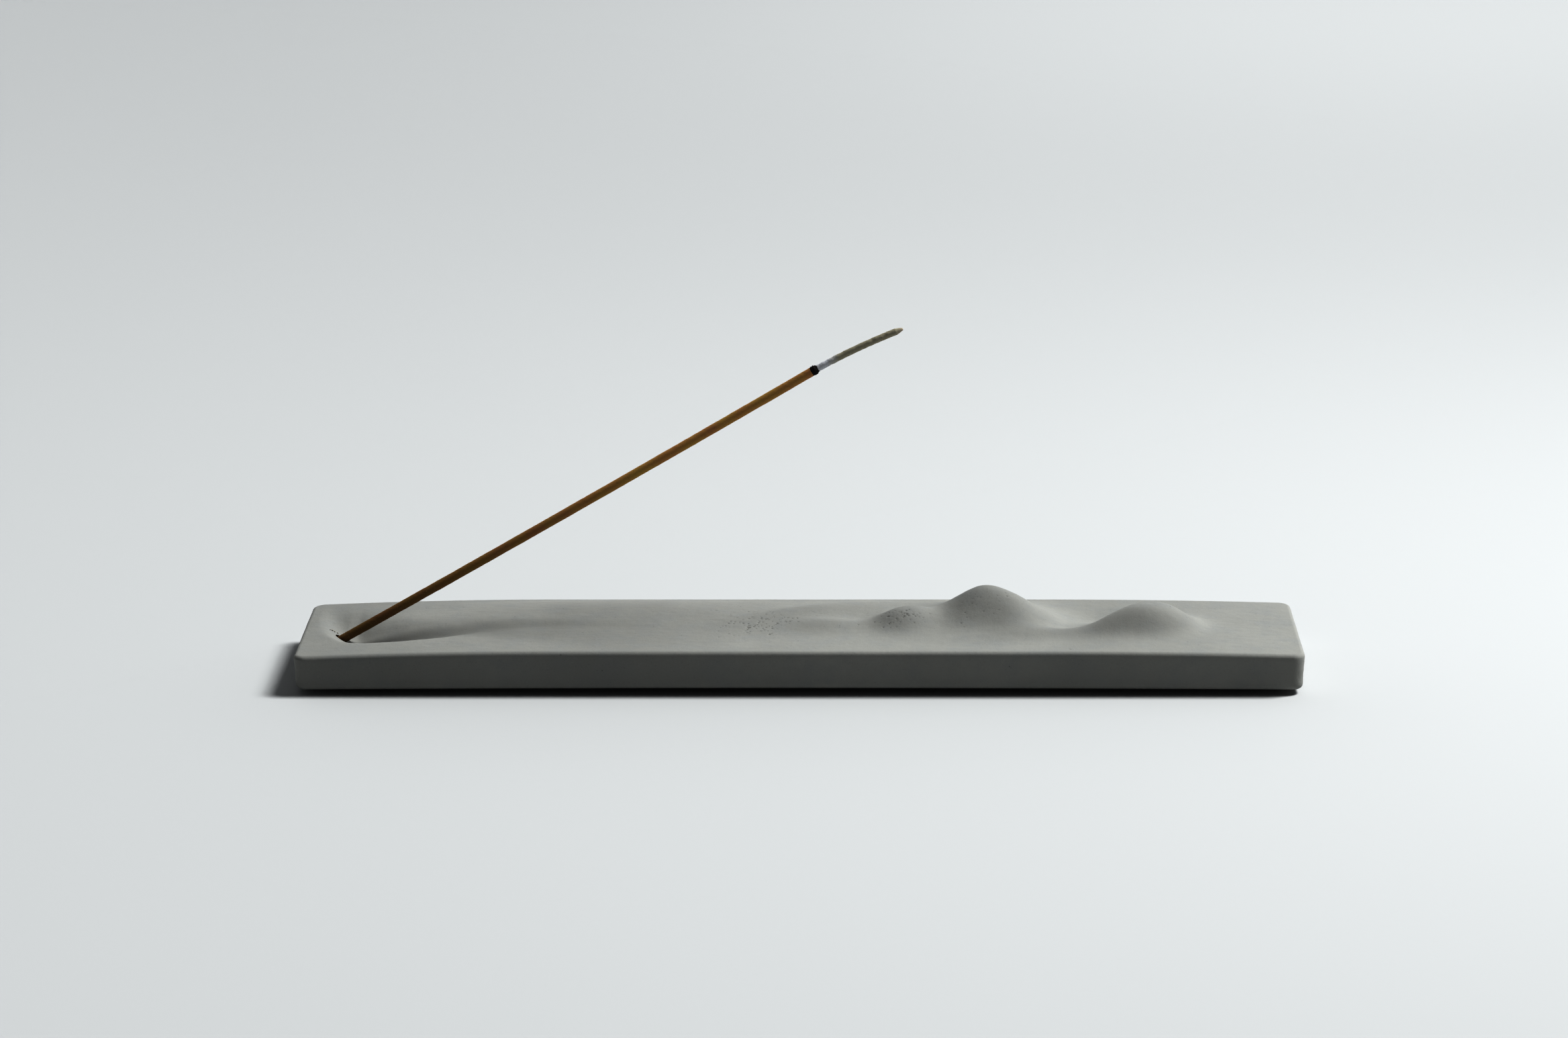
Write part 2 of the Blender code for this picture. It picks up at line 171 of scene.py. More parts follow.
def mound_height(x, y, mound):
    from_right, offset, height, half_along, half_across, turn, flatness = mound
    dx = x - (RIGHT_END - from_right)
    dy = y - offset
    c = math.cos(math.radians(turn))
    s = math.sin(math.radians(turn))
    along = (c * dx + s * dy) / half_along
    across = (c * dy - s * dx) / half_across
    return height * np.exp(-((along ** 2 + across ** 2) / 2) ** flatness)


def end_droop(x):
    left = np.maximum(1.0 - (x - LEFT_END) / DROOP_LENGTH, 0.0)
    right = np.maximum(1.0 - (RIGHT_END - x) / DROOP_LENGTH, 0.0)
    return LEFT_END_DROOP * left ** 2 + RIGHT_END_DROOP * right ** 2


def top_height(x, y):
    relief = -scoop_depth(x, y)
    for mound in RELIEF.values():
        relief = relief + mound_height(x, y, mound)
    edge_fade = smooth_step((HALF_DEPTH - np.abs(y)) / FLAT_RIM)
    return TOP_LEVEL - end_droop(x) + relief * edge_fade


def underside_height(x):
    return UNDERSIDE + UNDERSIDE_ARCH * (1.0 - (x / HALF_LENGTH) ** 2)


# ---------------------------------------------------------------- mesh and material helpers
def mesh_object(name, points, faces, smooth=True):
    mesh = bpy.data.meshes.new(name)
    mesh.from_pydata([tuple(p) for p in points], [], [tuple(int(i) for i in f) for f in faces])
    mesh.validate()
    if smooth:
        mesh.shade_smooth()
    made = bpy.data.objects.new(name, mesh)
    bpy.context.scene.collection.objects.link(made)
    return made


def tube_faces(ring_count, sides):
    """Faces of a closed tube whose points are rings of so many sides: the caps, then the walls."""
    last = (ring_count - 1) * sides
    faces = [list(range(sides))[::-1], list(range(last, last + sides))]
    for ring in range(ring_count - 1):
        a = ring * sides
        b = a + sides
        for i in range(sides):
            k = (i + 1) % sides
            faces.append((a + i, a + k, b + k, b + i))
    return faces


class Nodes:
    """A short way to lay out a material's nodes around its Principled shader."""

    def __init__(self, name, colour, roughness):
        self.material = bpy.data.materials.new(name)
        self.material.use_nodes = True
        self.tree = self.material.node_tree
        self.shader = self.tree.nodes["Principled BSDF"]
        self.shader.inputs["Base Color"].default_value = (*colour, 1.0)
        self.shader.inputs["Roughness"].default_value = roughness
        self.place = self.tree.nodes.new("ShaderNodeTexCoord").outputs["Object"]

    def add(self, kind, **inputs):
        node = self.tree.nodes.new(kind)
        for key, value in inputs.items():
            socket = node.inputs[key.replace("_", " ")]
            if isinstance(value, bpy.types.NodeSocket):
                self.tree.links.new(value, socket)
            else:
                socket.default_value = value
        return node

    def noise(self, scale, detail=3.0, roughness=0.55):
        node = self.add("ShaderNodeTexNoise", Vector=self.place, Scale=scale, Detail=detail)
        node.inputs["Roughness"].default_value = roughness
        return node.outputs["Fac"]

    def spots(self, scale, size, softness):
        """1 inside small round spots, 0 outside."""
        node = self.add("ShaderNodeTexVoronoi", Vector=self.place, Scale=scale)
        return self.ramp(node.outputs["Distance"], size, size + softness, 1.0, 0.0)

    def ramp(self, value, low, high, at_low=0.0, at_high=1.0):
        node = self.add("ShaderNodeMapRange", Value=value)
        node.inputs["From Min"].default_value = low
        node.inputs["From Max"].default_value = high
        node.inputs["To Min"].default_value = at_low
        node.inputs["To Max"].default_value = at_high
        return node.outputs["Result"]

    def math(self, operation, a, b):
        node = self.tree.nodes.new("ShaderNodeMath")
        node.operation = operation
        for socket, value in zip(node.inputs, (a, b)):
            if isinstance(value, bpy.types.NodeSocket):
                self.tree.links.new(value, socket)
            else:
                socket.default_value = value
        return node.outputs["Value"]

    def mix(self, factor, a, b, blend="MIX"):
        node = self.tree.nodes.new("ShaderNodeMix")
        node.data_type = "RGBA"
        node.blend_type = blend
        for socket, value in zip((node.inputs[0], node.inputs[6], node.inputs[7]), (factor, a, b)):
            if isinstance(value, bpy.types.NodeSocket):
                self.tree.links.new(value, socket)
            else:
                socket.default_value = (*value, 1.0) if isinstance(value, tuple) else value
        return node.outputs[2]

    def attribute(self, name):
        node = self.tree.nodes.new("ShaderNodeAttribute")
        node.attribute_name = name
        return node.outputs["Fac"]

    def colour(self, socket):
        self.tree.links.new(socket, self.shader.inputs["Base Color"])

    def bump(self, height, distance, strength=1.0, after=None):
        node = self.add("ShaderNodeBump", Height=height, Strength=strength, Distance=distance)
        if after:
            self.tree.links.new(after, node.inputs["Normal"])
        self.tree.links.new(node.outputs["Normal"], self.shader.inputs["Normal"])
        return node.outputs["Normal"]


# ---------------------------------------------------------------- materials
CONCRETE = (0.305, 0.308, 0.293)
CONCRETE_COOL = (0.280, 0.290, 0.288)
DARK_SAND = (0.16, 0.16, 0.15)
LIGHT_SAND = (0.42, 0.42, 0.40)
# painted shade of tiny pinholes, as dark dots
PINHOLE_SHADE = (0.08, 0.08, 0.075)
# painted shade in the air holes
PORE_SHADE = (0.055, 0.055, 0.050)
HILL_SHADE = (0.90, 0.90, 0.90)        # painted shade on the hills, as a share of the rest
SCOOP_SHADE = (0.92, 0.92, 0.92)       # and painted shade towards the scoop end
# painted shade towards the scoop end: it starts at the first mark and is full at the second
SCOOP_SHADE_START = LEFT_END + 0.110
SCOOP_SHADE_FULL = LEFT_END + 0.020
INCENSE_OLIVE = (0.44, 0.300, 0.095)
INCENSE_RED = (0.43, 0.240, 0.105)
# the stick's colour darkens towards the bore over this stretch
INCENSE_NEAR_BORE = (0.060, 0.028, 0.012)
NEAR_BORE_FULL = LEFT_END + 0.015
NEAR_BORE_END = LEFT_END + 0.085
ASH_BLUE = (0.58, 0.59, 0.62)
ASH_OLIVE = (0.37, 0.35, 0.275)
ASH_PALE = (0.44, 0.39, 0.32)


def concrete_material():
    """Mottled grey with fine sand, and painted shade in tiny pinholes, in the air holes, on the hills and
    towards the scoop end.
    """
    n = Nodes("cast_concrete", CONCRETE, 0.86)
    n.shader.inputs["Specular IOR Level"].default_value = 0.25
    cloud = n.noise(28.0, 4.0, 0.6)
    mottle = n.noise(160.0, 3.0, 0.6)
    sand = n.noise(2200.0, 2.0, 0.7)
    darker = tuple(c * 0.95 for c in CONCRETE)
    lighter = tuple(c * 1.04 for c in CONCRETE)
    base = n.mix(n.ramp(cloud, 0.35, 0.65), darker, lighter)
    cool = n.mix(n.ramp(mottle, 0.45, 0.75, 0.0, 0.55), base, CONCRETE_COOL)
    dotted = n.mix(n.ramp(sand, 0.60, 0.80, 0.0, 0.30), cool, DARK_SAND)
    bright = n.mix(n.ramp(sand, 0.40, 0.22, 0.0, 0.25), dotted, LIGHT_SAND)
    # tiny pinholes as dark dots: painted shade, with no holes cut into the surface
    pinhole_shade = n.math("MULTIPLY", n.spots(420.0, 0.05, 0.04), n.ramp(mottle, 0.52, 0.62, 0.0, 0.35))
    speckled = n.mix(pinhole_shade, bright, PINHOLE_SHADE)
    # painted shade on the hills, stronger the higher the ground rises
    hill_shaded = n.mix(n.attribute("rise"), speckled, HILL_SHADE, blend="MULTIPLY")
    along = n.add("ShaderNodeSeparateXYZ", Vector=n.place).outputs["X"]
    # painted shade towards the scoop end
    scoop_shaded = n.mix(n.ramp(along, SCOOP_SHADE_START, SCOOP_SHADE_FULL), hill_shaded, SCOOP_SHADE, blend="MULTIPLY")
    # painted shade in the air holes, darkest where they are deepest
    pore = n.math("MULTIPLY", n.attribute("pore"), 0.65)
    n.colour(n.mix(pore, scoop_shaded, PORE_SHADE))
    grain = n.bump(sand, 0.00006, 0.6)
    n.bump(n.noise(650.0, 4.0, 0.6), 0.00012, 0.35, after=grain)
    return n.material


def rubber_material():
    n = Nodes("foot_rubber", (0.018, 0.018, 0.018), 0.6)
    fine = n.noise(1500.0, 3.0)
    n.colour(n.mix(n.ramp(fine, 0.4, 0.7), (0.014, 0.014, 0.014), (0.03, 0.03, 0.03)))
    n.bump(fine, 0.00003, 0.5)
    return n.material


def incense_material():
    """Brown pressed powder in slow olive and reddish patches, darker towards the bore."""
    n = Nodes("pressed_incense", INCENSE_OLIVE, 0.82)
    n.shader.inputs["Specular IOR Level"].default_value = 0.3
    patch = n.noise(120.0, 3.0, 0.6)
    powder = n.noise(3500.0, 3.0, 0.7)
    base = n.mix(n.ramp(patch, 0.35, 0.65), INCENSE_OLIVE, INCENSE_RED)
    along = n.add("ShaderNodeSeparateXYZ", Vector=n.place).outputs["X"]
    base = n.mix(n.ramp(along, NEAR_BORE_FULL, NEAR_BORE_END, 0.70, 0.0), base, INCENSE_NEAR_BORE)
    dark = n.mix(n.ramp(powder, 0.55, 0.75, 0.0, 0.6), base, (0.18, 0.11, 0.05))
    n.colour(n.mix(n.ramp(powder, 0.42, 0.25, 0.0, 0.5), dark, (0.52, 0.38, 0.18)))
    n.bump(powder, 0.00005, 0.8)
    return n.material


def char_material():
    n = Nodes("charred_incense", (0.008, 0.007, 0.007), 0.9)
    flake = n.noise(2500.0, 4.0, 0.7)
    n.colour(n.mix(n.ramp(flake, 0.5, 0.8), (0.010, 0.006, 0.006), (0.05, 0.028, 0.025)))
    n.bump(flake, 0.00008, 1.0)
    return n.material


def ash_material(start, end):
    """Bluish grey by the char, olive grey along the column, pale at the very tip."""
    n = Nodes("incense_ash", ASH_OLIVE, 0.95)
    n.shader.inputs["Specular IOR Level"].default_value = 0.15
    split = n.add("ShaderNodeSeparateXYZ", Vector=n.place)
    share = n.ramp(split.outputs["X"], start.x, end.x)
    wobble = n.math("MULTIPLY", n.math("SUBTRACT", n.noise(420.0, 3.0), 0.5), 0.14)
    share = n.math("ADD", share, wobble)
    body = n.mix(n.ramp(share, 0.12, 0.24), ASH_BLUE, ASH_OLIVE)
    tip = n.mix(n.ramp(share, 0.88, 0.95), body, ASH_PALE)
    powder = n.noise(2600.0, 4.0, 0.7)
    dark = n.mix(n.ramp(powder, 0.52, 0.72, 0.0, 0.55), tip, (0.22, 0.20, 0.15))
    n.colour(n.mix(n.ramp(powder, 0.45, 0.25, 0.0, 0.5), dark, (0.60, 0.58, 0.52)))
    n.bump(powder, 0.00005, 0.7)
    return n.material


# ---------------------------------------------------------------- camera, light and floor
def make_camera():
    camera = bpy.data.objects.new("camera", bpy.data.cameras.new("camera"))
    bpy.context.scene.collection.objects.link(camera)
    camera.data.sensor_width = 36.0
    camera.data.lens = 104.75
    camera.data.clip_end = 100.0
    yaw, pitch, roll = (math.radians(a) for a in (-1.145, 15.45, -0.335))
    place = Vector((0.0176187, -1.06129, 0.331079))
    turn = Matrix.Rotation(-yaw, 4, "Z") @ Matrix.Rotation(math.pi / 2 - pitch, 4, "X")
    camera.matrix_world = Matrix.Translation(place) @ turn @ Matrix.Rotation(roll, 4, "Z")
    bpy.context.scene.camera = camera


def aim(lamp, direction, distance):
    """Puts a lamp that far away along a direction from the object, shining back at it."""
    direction = Vector(direction).normalized()
    lamp.location = direction * distance
    lamp.rotation_mode = "QUATERNION"
    lamp.rotation_quaternion = direction.to_track_quat("Z", "Y")


def make_lights():
    key = bpy.data.objects.new("key", bpy.data.lights.new("key", "SUN"))
    key.data.energy = 3.75
    key.data.angle = math.radians(18.0)
    aim(key, (0.56, 0.10, 0.82), 3.0)
    near = bpy.data.objects.new("near_key", bpy.data.lights.new("near_key", "AREA"))
    near.data.shape = "DISK"
    near.data.size = 0.18
    near.data.energy = 3.0
    aim(near, (0.60, 0.10, 0.79), 0.80)
    wash = bpy.data.objects.new("floor_wash", bpy.data.lights.new("floor_wash", "SPOT"))
    wash.data.energy = 9.0
    wash.data.spot_size = math.radians(85.0)
    wash.data.spot_blend = 1.0
    wash.data.shadow_soft_size = 0.2
    wash.location = (0.38, 1.05, 0.80)
    for lamp in (key, near, wash):
        bpy.context.scene.collection.objects.link(lamp)


SKY_HIGH_FRONT = (0.12, 0.122, 0.124)
SKY_LOW_FRONT = (0.46, 0.467, 0.474)
SKY_HIGH_BACK = (0.58, 0.59, 0.60)
SKY_LOW_BACK = (2.4, 2.44, 2.47)
BELOW_HORIZON = (0.13, 0.132, 0.135)


def sky_share(tree, value, start, end, interpolation="SMOOTHSTEP"):
    """0 where the value is at the start, 1 where it is at the end."""
    node = tree.nodes.new("ShaderNodeMapRange")
    node.interpolation_type = interpolation
    node.inputs["From Min"].default_value = start
    node.inputs["From Max"].default_value = end
    tree.links.new(value, node.inputs["Value"])
    return node.outputs["Result"]


def sky_blend(tree, share, *ends):
    """A mix of two ends by share; each end is a colour or the output of another blend."""
    node = tree.nodes.new("ShaderNodeMix")
    node.data_type = "RGBA"
    tree.links.new(share, node.inputs[0])
    for socket, end in zip(node.inputs[6:8], ends):
        if isinstance(end, tuple):
            socket.default_value = (*end, 1.0)
        else:
            tree.links.new(end, socket)
    return node.outputs[2]


def make_world():
    """A bright low band behind the object, dimmer sky above and in front, dark under the horizon."""
    world = bpy.data.worlds.new("room")
    world.use_nodes = True
    tree = world.node_tree
    direction = tree.nodes.new("ShaderNodeTexCoord").outputs["Generated"]
    split = tree.nodes.new("ShaderNodeSeparateXYZ")
    tree.links.new(direction, split.inputs["Vector"])
    level = split.outputs["Z"]
    back = sky_blend(tree, sky_share(tree, level, 0.34, 0.14), SKY_HIGH_BACK, SKY_LOW_BACK)
    front = sky_blend(tree, sky_share(tree, level, 0.34, 0.06), SKY_HIGH_FRONT, SKY_LOW_FRONT)
    sky = sky_blend(tree, sky_share(tree, split.outputs["Y"], -0.25, 0.65), front, back)
    whole = sky_blend(tree, sky_share(tree, level, -0.02, 0.02, "LINEAR"), BELOW_HORIZON, sky)
    tree.links.new(whole, tree.nodes["Background"].inputs["Color"])
    bpy.context.scene.world = world


FLOOR_HALF_SIZE = 12.0


def make_floor():
    n = Nodes("pale_floor", (0.50, 0.510, 0.512), 0.95)
    n.shader.inputs["Specular IOR Level"].default_value = 0.1
    half = FLOOR_HALF_SIZE
    corners = [(-half, -half, 0), (half, -half, 0), (half, half, 0), (-half, half, 0)]
    floor = mesh_object("floor", corners, [(0, 1, 2, 3)], smooth=False)
    floor.data.materials.append(n.material)


# ---------------------------------------------------------------- the cast slab
FINE_START = -0.020             # cross rows are closest over the porous rise and the left hill
FINE_END = 0.030
HILLS_END = 0.062
ROW_SPACINGS = (0.00042, 0.00024, 0.00034, 0.00042)
FINE_ACROSS = 0.0100
ACROSS_SPACINGS = (0.022, 0.0115, 0.022)   # as shares of the half depth
EDGE_STEPS = 6
SIDE_STEPS = 8
FOOT_STEPS = 4
CORNER_STEPS = 10
SEED = 7
SWELL_HEIGHT = 0.00004
RIPPLE_HEIGHT = 0.000014
GRIT_HEIGHT = 0.000007
SIDE_HOLLOW = 0.00006          # how far the middle of a side draws in
SIDE_RIPPLE = 0.000045
SIDE_GRIT = 0.00002
SIDE_FADE_END = 0.999          # the side's unevenness all but dies out by its foot
SLAB_SHARP_ANGLE = 55.0
BORE_SIDES = 48
BORE_RINGS = 24
BORE_WEAR = 0.00005
BORE_SEARCH_LENGTH = 0.02
BORE_SEARCH_STEP = 0.00002
CUTTER_OVERRUN = 0.006


def steps_between(marks, spacings):
    """Evenly spaced points along stretches that each have their own spacing."""
    points = []
    for start, end, spacing in zip(marks, marks[1:], spacings):
        count = max(1, round((end - start) / spacing))
        points += [start + (end - start) * i / count for i in range(count)]
    return points + [marks[-1]]


def waves(seed, lengths, count=14):
    """A smooth uneven field, about -1 to 1, from seeded sine waves with lengths in that range."""
    rng = np.random.default_rng(seed)
    turns = rng.uniform(0, 2 * math.pi, count)
    sizes = np.exp(rng.uniform(math.log(lengths[0]), math.log(lengths[1]), count))
    phases = rng.uniform(0, 2 * math.pi, count)

    def field(x, y):
        total = np.zeros_like(x)
        for turn, size, phase in zip(turns, sizes, phases):
            total = total + np.sin((x * math.cos(turn) + y * math.sin(turn)) * 2 * math.pi / size + phase)
        return total / math.sqrt(count)

    return field


SWELL = waves(SEED, (0.010, 0.030))
RIPPLE = waves(SEED + 1, (0.0022, 0.0060))
GRIT = waves(SEED + 2, (0.0009, 0.0018), 20)


PORE_END = 0.115
PORE_SIDE = 0.020
PORE_STEEPNESS = 1.2


def make_pores():
    """Small air holes: (x, y, radius, depth). They crowd on the porous rise and the hills' faces."""
    rng = np.random.default_rng(SEED + 3)
    pores = []
    # how many, the span along, the span across, and the least and largest radius
    fields = (
        (130, (-0.0185, 0.0015), (-0.0085, 0.0060), (0.00010, 0.00020)),
        (70, (0.0190, 0.0320), (-0.0065, 0.0000), (0.00010, 0.00018)),
        (60, (0.0370, 0.0530), (-0.0050, 0.0040), (0.00008, 0.00013)),
        (30, (-0.1100, 0.1150), (-0.0210, 0.0210), (0.00010, 0.00016)),
    )
    for count, across_x, across_y, radii in fields:
        for _ in range(count):
            radius = rng.uniform(*radii)
            x = rng.normal(sum(across_x) / 2, (across_x[1] - across_x[0]) / 4)
            y = rng.normal(sum(across_y) / 2, (across_y[1] - across_y[0]) / 4)
            x = clamp(x, -PORE_END, PORE_END)
            y = clamp(y, -PORE_SIDE, PORE_SIDE)
            pores.append((x, y, radius, radius * PORE_STEEPNESS))
    return pores


PORES = make_pores()
PORE_SPREAD = 1.5
# the air holes' painted shade is full at this depth
PORE_DARKEST = 0.00020
HILL_SHADE_RISE = 0.0025           # the painted shade on the hills is full this far up


def pore_depth(x, y):
    total = np.zeros_like(x)
    for pore_x, pore_y, radius, depth in PORES:
        near = (np.abs(x - pore_x) < radius * PORE_SPREAD) & (np.abs(y - pore_y) < radius * PORE_SPREAD)
        if near.any():
            away = np.hypot(x[near] - pore_x, y[near] - pore_y) / (radius * PORE_SPREAD)
            total[near] = total[near] + depth * (1.0 - smooth_step(away))
    return total


def cast_height(x, y):
    """The fine top surface: the designed relief with the casting's own unevenness and pores."""
    z = top_height(x, y)
    inner = smooth_step((HALF_DEPTH - np.abs(y)) / FLAT_RIM)
    uneven = inner * (SWELL_HEIGHT * SWELL(x, y) + RIPPLE_HEIGHT * RIPPLE(x, y))
    return z + uneven + GRIT_HEIGHT * GRIT(x, y) - pore_depth(x, y)


def outline_row(x, angle, inset):
    radius = CORNER_RADIUS - inset
    turned = math.radians(angle)
    half = HALF_DEPTH - CORNER_RADIUS + radius * math.cos(turned)
    return x + radius * math.sin(turned), half


def slab_stations():
    straight = HALF_LENGTH - CORNER_RADIUS
    xs = steps_between((-straight, FINE_START, FINE_END, HILLS_END, straight), ROW_SPACINGS)
    corner = [90.0 * i / CORNER_STEPS for i in range(1, CORNER_STEPS + 1)]
    left = [(-straight, -angle) for angle in reversed(corner)]
    return left + [(x, 0.0) for x in xs] + [(straight, angle) for angle in corner]


def row_shares():
    """How far across each row lies, 1 at the back edge to -1 at the front."""
    fine = FINE_ACROSS / HALF_DEPTH
    shares = steps_between((-1.0, -fine, fine, 1.0), ACROSS_SPACINGS)
    return np.array(shares[::-1])


def rim(stations, shares, inset):
    """The plan outline drawn in by inset: along the back, down the right end, along the front and up."""
    rows = [outline_row(x, angle, inset) for x, angle in stations]
    back = [(x, half) for x, half in rows]
    front = [(x, -half) for x, half in reversed(rows)]
    right = [(rows[-1][0], share * rows[-1][1]) for share in shares[1:-1]]
    left = [(rows[0][0], share * rows[0][1]) for share in shares[::-1][1:-1]]
    return np.array(back + right + front + left)


def slab_rings(stations, shares):
    """Rim rings below the top face: rounded edge, slightly rough side, rounded foot."""
    plan = rim(stations, shares, TOP_EDGE_RADIUS)
    edge = cast_height(plan[:, 0].copy(), plan[:, 1].copy())
    rings = []
    for step in range(1, EDGE_STEPS + 1):
        angle = math.pi / 2 * step / EDGE_STEPS
        plan = rim(stations, shares, TOP_EDGE_RADIUS * (1.0 - math.sin(angle)))
        rings.append((plan, edge - TOP_EDGE_RADIUS * (1.0 - math.cos(angle))))
    side_top = edge - TOP_EDGE_RADIUS
    side_foot = underside_height(rim(stations, shares, SIDE_DRAFT)[:, 0]) + BOTTOM_EDGE_RADIUS
    for step in range(1, SIDE_STEPS + 1):
        share = step / SIDE_STEPS
        plan = rim(stations, shares, SIDE_DRAFT * share)
        height = side_top + (side_foot - side_top) * share
        rough = SIDE_RIPPLE * RIPPLE(plan[:, 0] + plan[:, 1], height)
        rough = rough + SIDE_GRIT * GRIT(plan[:, 0] - plan[:, 1], height)
        outward = plan / np.linalg.norm(plan, axis=1)[:, None]
        fade = math.sin(math.pi * min(share, SIDE_FADE_END))
        rings.append((plan - outward * (SIDE_HOLLOW + rough)[:, None] * fade, height))
    for step in range(1, FOOT_STEPS + 1):
        angle = math.pi / 2 * step / FOOT_STEPS
        plan = rim(stations, shares, SIDE_DRAFT + BOTTOM_EDGE_RADIUS * (1.0 - math.cos(angle)))
        rise = BOTTOM_EDGE_RADIUS * (1.0 - math.sin(angle))
        rings.append((plan, underside_height(plan[:, 0]) + rise))
    return rings


def shade(slab, name, values, count):
    """Stores a 0 to 1 value on the top face's points for the material; the other points get 0."""
    whole = np.zeros(count, dtype=np.float32)
    whole[:len(values)] = smooth_step(values)
    slab.data.attributes.new(name, "FLOAT", "POINT").data.foreach_set("value", whole)


def make_slab_body():
    stations = slab_stations()
    shares = row_shares()
    columns = len(stations)
    rows = len(shares)
    plan = np.array([outline_row(x, angle, TOP_EDGE_RADIUS) for x, angle in stations])
    x = np.repeat(plan[:, :1], rows, axis=1)
    y = plan[:, 1:] * shares
    top = np.stack([x, y, cast_height(x, y)], axis=2).reshape(-1, 3)
    index = np.arange(columns * rows).reshape(columns, rows)
    quads = [index[:-1, :-1], index[:-1, 1:], index[1:, 1:], index[1:, :-1]]
    faces = [np.stack(quads, axis=2).reshape(-1, 4)]
    above = np.concatenate([index[:, 0], index[-1, 1:-1], index[::-1, -1], index[0, 1:-1][::-1]])
    points = [top]
    count = len(top)
    for ring_plan, heights in slab_rings(stations, shares):
        below = np.arange(count, count + len(above))
        points.append(np.column_stack([ring_plan, heights]))
        faces.append(np.stack([above, np.roll(above, -1), np.roll(below, -1), below], axis=1))
        above = below
        count += len(below)
    back = above[:columns]
    right_end = above[columns:columns + rows - 2]
    front = above[columns + rows - 2:2 * columns + rows - 2][::-1]
    left_end = above[2 * columns + rows - 2:]
    middle = [(back[i], back[i + 1], front[i + 1], front[i]) for i in range(1, columns - 2)]
    right = [back[-2], back[-1], *right_end, front[-1], front[-2]]
    left = [front[1], front[0], *left_end, back[0], back[1]]
    all_faces = np.concatenate(faces).tolist() + middle + [right, left]
    slab = mesh_object("cast_slab", np.concatenate(points), all_faces)
    top_x, top_y = top[:, 0].copy(), top[:, 1].copy()
    # the share of painted shade in the air holes, by their depth
    shade(slab, "pore", pore_depth(top_x, top_y) / PORE_DARKEST, count)
    # the share of painted shade on the hills, by height above the flat top
    shade(slab, "rise", (top_height(top_x, top_y) - TOP_LEVEL) / HILL_SHADE_RISE, count)
    return slab


def bore_direction():
    angle = math.radians(STICK_ANGLE)
    return Vector((math.cos(angle), 0.0, math.sin(angle)))


def bore_end():
    angle = math.radians(STICK_ANGLE)
    level_x = LEFT_END + BORE_LEVEL_INSET
    height = underside_height(level_x) + BORE_FLOOR + BORE_RADIUS * math.cos(angle)
    return Vector((level_x - (TOP_LEVEL - height) / math.tan(angle), 0.0, height))


def bore_length():
    """Along the bore's axis, from its blind end to the scoop's floor."""
    distances = np.arange(0.0, BORE_SEARCH_LENGTH, BORE_SEARCH_STEP)
    x = bore_end().x + distances * bore_direction().x
    z = bore_end().z + distances * bore_direction().z
    return distances[np.argmax(z >= top_height(x, np.zeros_like(x)))]


def cut_bore(slab):
    """The slanting hole that holds the stick, with a slightly worn rim."""
    points = []
    for ring, along in enumerate(np.linspace(0.0, bore_length() + CUTTER_OVERRUN, BORE_RINGS)):
        for i in range(BORE_SIDES):
            turn = 2 * math.pi * i / BORE_SIDES
            radius = BORE_RADIUS + BORE_WEAR * math.sin(5 * turn + 3 * ring) * (ring > 0)
            points.append((radius * math.cos(turn), radius * math.sin(turn), along))
    cutter = mesh_object("bore_cutter", points, tube_faces(BORE_RINGS, BORE_SIDES))
    tilt = Matrix.Rotation(math.radians(90.0 - STICK_ANGLE), 4, "Y")
    cutter.data.transform(Matrix.Translation(bore_end()) @ tilt)
    cut = slab.modifiers.new("bore", "BOOLEAN")
    cut.operation = "DIFFERENCE"
    cut.solver = "EXACT"
    cut.object = cutter
    depsgraph = bpy.context.evaluated_depsgraph_get()
    cut_mesh = bpy.data.meshes.new_from_object(slab.evaluated_get(depsgraph))
    slab.modifiers.clear()
    slab.data = cut_mesh
    bpy.data.objects.remove(cutter)


def make_slab():
    slab = make_slab_body()
    cut_bore(slab)
    slab.data.materials.clear()
    slab.data.materials.append(concrete_material())
    slab.data.shade_smooth()
    slab.data.set_sharp_from_angle(angle=math.radians(SLAB_SHARP_ANGLE))
    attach(slab, "base")
    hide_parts("concrete_slab")


# ---------------------------------------------------------------- stick, char and ash
HELD_STEPS = 16
FREE_STEPS = 420
CHAR_STEPS = 16
ASH_STEPS = 150
STICK_SIDES = 36
ASH_SIDES = 32
ROD_SHARP_ANGLE = 60.0
ASH_OVERLAP = 0.0001           # the ash reaches this far into the char
ASH_TIP_LENGTH = 0.0018
ASH_TIP_SHARE = 0.28


def arc_path(start, start_lean, end_lean, length, steps):
    """Points of an arc in the bore's upright plane, as (upwards, along), and its leans in radians."""
    leans = [math.radians(start_lean + (end_lean - start_lean) * i / steps) for i in range(steps + 1)]
    points = [start]
    for lean, after in zip(leans, leans[1:]):
        middle = (lean + after) / 2
        up, along = points[-1]
        points.append((up + math.sin(middle) * length / steps, along + math.cos(middle) * length / steps))
    return points, leans


